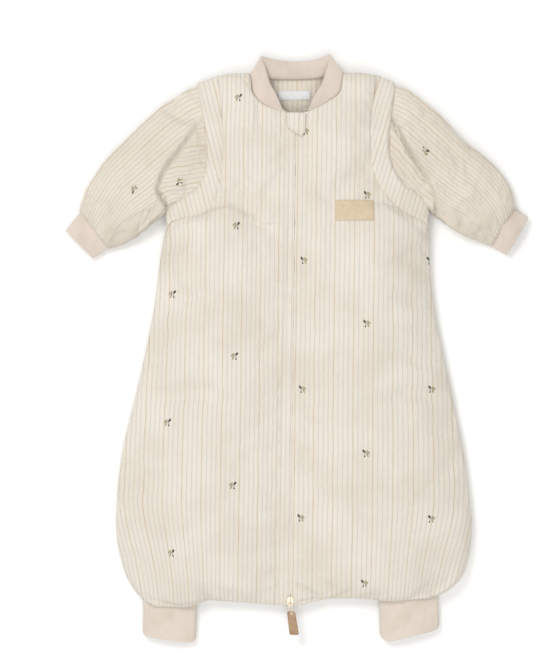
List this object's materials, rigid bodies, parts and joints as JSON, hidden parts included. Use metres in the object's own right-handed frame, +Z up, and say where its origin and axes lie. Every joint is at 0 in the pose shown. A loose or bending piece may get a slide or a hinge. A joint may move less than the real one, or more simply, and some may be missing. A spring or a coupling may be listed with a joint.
{
  "type": "baby sleeping bag",
  "caption": "Padded baby sleeping bag with folding long sleeves, leg openings with rib cuffs and a concealed centre zip, laid flat on its back.",
  "frame": {"origin": "centre of the bag's overall box at the level of the flat underside it lies on", "axes": "+X across the chest towards the side with the patch, +Y from the hem to the collar, +Z up from the surface it lies on"},
  "size_m": [0.6186, 0.7819, 0.045],
  "materials": {
    "striped_muslin": "crinkled cotton muslin, fine vertical stripes, matte",
    "lining": "cotton muslin, fine stripes, matte",
    "wadding": "soft polyester fleece",
    "rib_knit": "fine rib jersey, matte",
    "patch": "smooth faux leather, matte",
    "woven_label": "woven satin",
    "zip_cloth": "woven tape",
    "zip_plastic": "satin",
    "slider_enamel": "enamelled",
    "leather_tab": "grained, matte",
    "stud": "moulded"
  },
  "bodies": {
    "bag": {"back_outer": "striped_muslin", "back_wadding": "wadding", "back_lining": "lining", "front_left_outer": "striped_muslin", "front_left_wadding": "wadding", "front_left_lining": "lining", "front_right_outer": "striped_muslin", "front_right_wadding": "wadding", "front_right_lining": "lining", "armhole_band_left": "striped_muslin", "armhole_band_right": "striped_muslin", "sleeve_head_left": "striped_muslin", "sleeve_head_right": "striped_muslin", "leg_cuff_left": "rib_knit", "leg_cuff_right": "rib_knit", "collar_back": "rib_knit", "neck_label": "woven_label", "chest_patch": "patch", "shoulder_stud": "stud", "zip_tape_end_left": "zip_cloth", "zip_tape_end_right": "zip_cloth"},
    "lapel_left": {"lapel_left_outer": "striped_muslin", "lapel_left_wadding": "wadding", "lapel_left_lining": "lining", "collar_left": "rib_knit", "zip_tape_left": "zip_cloth", "zip_coil_left": "zip_plastic", "zip_retainer_pin": "zip_plastic"},
    "lapel_right": {"lapel_right_outer": "striped_muslin", "lapel_right_wadding": "wadding", "lapel_right_lining": "lining", "collar_right": "rib_knit", "zip_tape_right": "zip_cloth", "zip_coil_right": "zip_plastic", "zip_retainer_box": "zip_plastic"},
    "garage": {"zip_garage": "striped_muslin"},
    "slider": {"zip_slider": "slider_enamel", "slider_bail": "slider_enamel"},
    "pull": {"pull_loop": "zip_cloth", "leather_pull": "leather_tab"},
    "sleeve_left": {"sleeve_left_outer": "striped_muslin", "sleeve_left_wadding": "wadding", "sleeve_left_lining": "lining", "sleeve_cuff_left": "rib_knit"},
    "sleeve_right": {"sleeve_right_outer": "striped_muslin", "sleeve_right_wadding": "wadding", "sleeve_right_lining": "lining", "sleeve_cuff_right": "rib_knit"}
  },
  "joints": [
    {"name": "lapel_left_fold", "type": "hinge", "parent": "bag", "child": "lapel_left", "pos_m": [-0.02766, -0.29, 0.02727], "axis": [0.0511, -0.9986, -0.017], "range_deg": [0, 135]},
    {"name": "lapel_right_fold", "type": "hinge", "parent": "bag", "child": "lapel_right", "pos_m": [0.01234, -0.29, 0.02727], "axis": [0.0759, 0.997, 0.017], "range_deg": [0, 135]},
    {"name": "garage_flip", "type": "hinge", "parent": "lapel_right", "child": "garage", "pos_m": [0, 0.3115, 0.03921], "axis": [-1, 0, 0], "range_deg": [0, 135]},
    {"name": "zip_travel", "type": "slide", "parent": "lapel_right", "child": "slider", "axis": [0.0119, 0.9998, 0.017], "range_m": [0, 0.6]},
    {"name": "pull_swing", "type": "hinge", "parent": "slider", "child": "pull", "pos_m": [-0.00821, -0.3362, 0.02873], "axis": [-1, 0, 0], "range_deg": [-20, 150]},
    {"name": "sleeve_left_fold", "type": "hinge", "parent": "bag", "child": "sleeve_left", "pos_m": [-0.184, 0.1685, 0.0325], "axis": [0.2393, 0.9709, 0], "range_deg": [0, 110]},
    {"name": "sleeve_right_fold", "type": "hinge", "parent": "bag", "child": "sleeve_right", "pos_m": [0.188, 0.172, 0.0325], "axis": [0.2631, -0.9648, 0], "range_deg": [0, 110]}
  ],
  "couplings": [
    {"joint": "lapel_left_fold", "follows": "lapel_right_fold", "ratio": 1}
  ]
}
